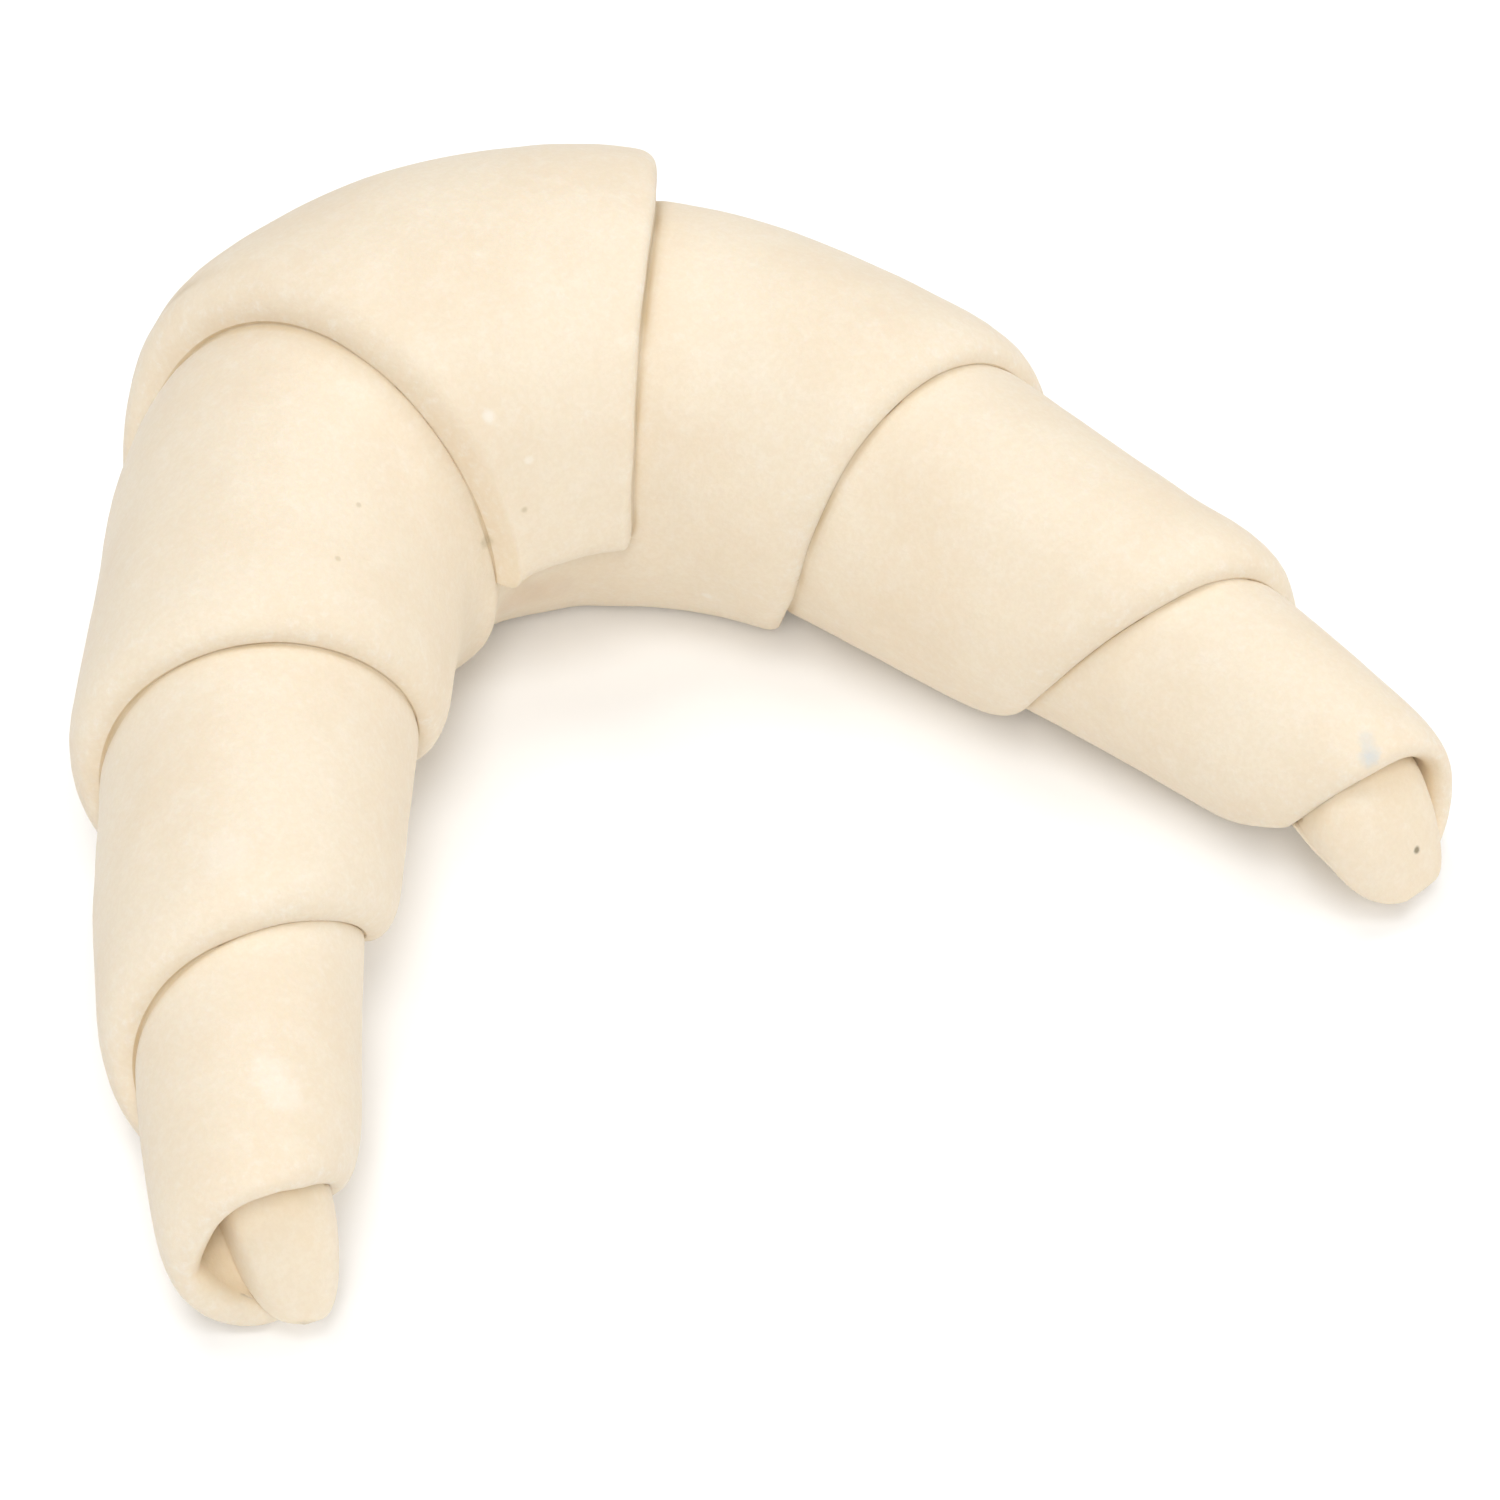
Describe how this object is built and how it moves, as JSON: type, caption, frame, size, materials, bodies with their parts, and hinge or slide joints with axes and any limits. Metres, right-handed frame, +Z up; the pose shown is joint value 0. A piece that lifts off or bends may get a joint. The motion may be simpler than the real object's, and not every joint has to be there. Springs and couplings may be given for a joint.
{
  "type": "unbaked croissant",
  "caption": "Raw croissant: a triangle of laminated dough rolled up and bent into a crescent, with stepped spiral wraps and open horn ends, resting flat.",
  "frame": {"origin": "centre of the bounding box in plan, on the table plane under the dough", "axes": "+Z up from the table, +X across the crescent toward the right horn, -Y the way both horns point"},
  "size_m": [0.1018, 0.0846, 0.0336],
  "materials": {
    "dough": "matte, floury"
  },
  "bodies": {
    "root": {"dough": "dough"}
  },
  "joints": []
}
